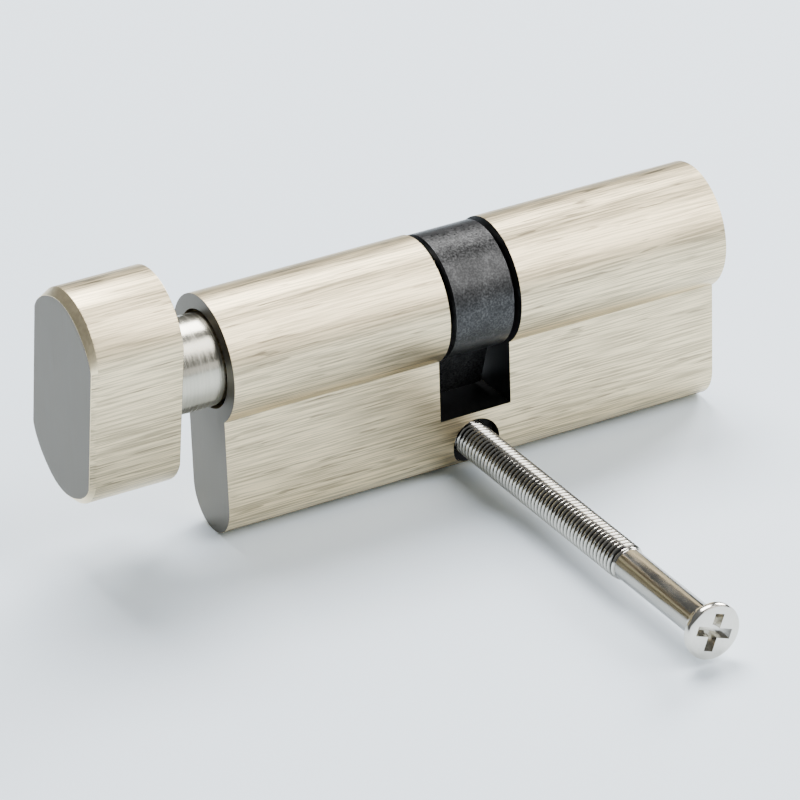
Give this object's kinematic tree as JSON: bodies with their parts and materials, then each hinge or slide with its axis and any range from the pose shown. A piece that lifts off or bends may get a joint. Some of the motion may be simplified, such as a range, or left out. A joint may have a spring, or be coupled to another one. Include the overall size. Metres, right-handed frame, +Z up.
{
  "type": "euro cylinder",
  "caption": "Euro profile lock cylinder with a thumbturn on one side and a keyed plug on the other, a black cam between them and a long countersunk fixing screw.",
  "frame": {"origin": "on the plug axis, halfway between the two ends of the cam gap", "axes": "+X along the plug axis to the key end, -Y to the front where the fixing screw comes out, +Z up, away from the web"},
  "size_m": [0.0917, 0.0719, 0.0394],
  "materials": {
    "satin_nickel": "satin nickel plate on brass, brushed along the axis",
    "plug_nickel": "turned and nickel plated, fine rings",
    "black_steel": "sintered steel with black oxide, fine grain",
    "hardened_steel": "ground and hardened",
    "spring_steel": "drawn wire and stamped strip, bright",
    "pin_brass": "turned, plain",
    "pin_steel": "turned, plain",
    "bright_nickel": "bright nickel plate"
  },
  "bodies": {
    "housing": {"cylinder_body": "satin_nickel", "chamber_plug_1": "pin_brass", "chamber_plug_2": "pin_brass", "chamber_plug_3": "pin_brass", "chamber_plug_4": "pin_brass", "chamber_plug_5": "pin_brass", "pin_spring_1": "spring_steel", "pin_spring_2": "spring_steel", "pin_spring_3": "spring_steel", "pin_spring_4": "spring_steel", "pin_spring_5": "spring_steel"},
    "key_side_plug": {"key_plug": "plug_nickel", "circlip_key_side": "spring_steel"},
    "knob": {"thumbturn_knob": "satin_nickel", "knob_set_screw": "black_steel", "knob_plug": "plug_nickel", "circlip_knob_side": "spring_steel", "clutch_spring": "spring_steel"},
    "cam": {"cam": "black_steel"},
    "key_clutch": {"clutch_key_side": "hardened_steel"},
    "knob_clutch": {"clutch_knob_side": "hardened_steel"},
    "fixing_screw": {"fixing_screw": "bright_nickel"},
    "key_pin_1": {"key_pin_1": "pin_brass"},
    "driver_pin_1": {"driver_pin_1": "pin_steel"},
    "key_pin_2": {"key_pin_2": "pin_brass"},
    "driver_pin_2": {"driver_pin_2": "pin_steel"},
    "key_pin_3": {"key_pin_3": "pin_brass"},
    "driver_pin_3": {"driver_pin_3": "pin_steel"},
    "key_pin_4": {"key_pin_4": "pin_brass"},
    "driver_pin_4": {"driver_pin_4": "pin_steel"},
    "key_pin_5": {"key_pin_5": "pin_brass"},
    "driver_pin_5": {"driver_pin_5": "pin_steel"}
  },
  "joints": [
    {"name": "knob_turn", "type": "hinge", "parent": "housing", "child": "knob", "pos_m": [0, 0, 0], "axis": [1, 0, 0], "continuous": true},
    {"name": "cam_turn", "type": "hinge", "parent": "housing", "child": "cam", "pos_m": [0, 0, 0], "axis": [1, 0, 0], "continuous": true},
    {"name": "key_plug_turn", "type": "hinge", "parent": "housing", "child": "key_side_plug", "pos_m": [0, 0, 0], "axis": [1, 0, 0], "continuous": true},
    {"name": "key_clutch_slide", "type": "slide", "parent": "key_side_plug", "child": "key_clutch", "axis": [-1, 0, 0], "range_m": [0, 0.0021], "stiffness_N_per_m": 100, "springref_m": -0.002},
    {"name": "knob_clutch_slide", "type": "slide", "parent": "knob", "child": "knob_clutch", "axis": [-1, 0, 0], "range_m": [0, 0.0021], "deforming": ["clutch_spring"]},
    {"name": "fixing_screw_drive", "type": "slide", "parent": "housing", "child": "fixing_screw", "axis": [0, 1, 0], "range_m": [-0.0075, 0.036]},
    {"name": "key_pin_1_lift", "type": "slide", "parent": "key_side_plug", "child": "key_pin_1", "axis": [0, 0, 1], "range_m": [0, 0.0022]},
    {"name": "driver_pin_1_lift", "type": "slide", "parent": "housing", "child": "driver_pin_1", "axis": [0, 0, 1], "range_m": [-0.0012, 0], "stiffness_N_per_m": 150, "springref_m": 0.002, "deforming": ["pin_spring_1"]},
    {"name": "key_pin_2_lift", "type": "slide", "parent": "key_side_plug", "child": "key_pin_2", "axis": [0, 0, 1], "range_m": [0, 0.0022]},
    {"name": "driver_pin_2_lift", "type": "slide", "parent": "housing", "child": "driver_pin_2", "axis": [0, 0, 1], "range_m": [-0.0012, 0], "stiffness_N_per_m": 150, "springref_m": 0.002, "deforming": ["pin_spring_2"]},
    {"name": "key_pin_3_lift", "type": "slide", "parent": "key_side_plug", "child": "key_pin_3", "axis": [0, 0, 1], "range_m": [0, 0.0022]},
    {"name": "driver_pin_3_lift", "type": "slide", "parent": "housing", "child": "driver_pin_3", "axis": [0, 0, 1], "range_m": [-0.0012, 0], "stiffness_N_per_m": 150, "springref_m": 0.002, "deforming": ["pin_spring_3"]},
    {"name": "key_pin_4_lift", "type": "slide", "parent": "key_side_plug", "child": "key_pin_4", "axis": [0, 0, 1], "range_m": [0, 0.0022]},
    {"name": "driver_pin_4_lift", "type": "slide", "parent": "housing", "child": "driver_pin_4", "axis": [0, 0, 1], "range_m": [-0.0012, 0], "stiffness_N_per_m": 150, "springref_m": 0.002, "deforming": ["pin_spring_4"]},
    {"name": "key_pin_5_lift", "type": "slide", "parent": "key_side_plug", "child": "key_pin_5", "axis": [0, 0, 1], "range_m": [0, 0.0022]},
    {"name": "driver_pin_5_lift", "type": "slide", "parent": "housing", "child": "driver_pin_5", "axis": [0, 0, 1], "range_m": [-0.0012, 0], "stiffness_N_per_m": 150, "springref_m": 0.002, "deforming": ["pin_spring_5"]}
  ],
  "couplings": [
    {"joint": "cam_turn", "follows": "knob_turn", "ratio": 1},
    {"joint": "knob_clutch_slide", "follows": "key_clutch_slide", "ratio": 1}
  ]
}
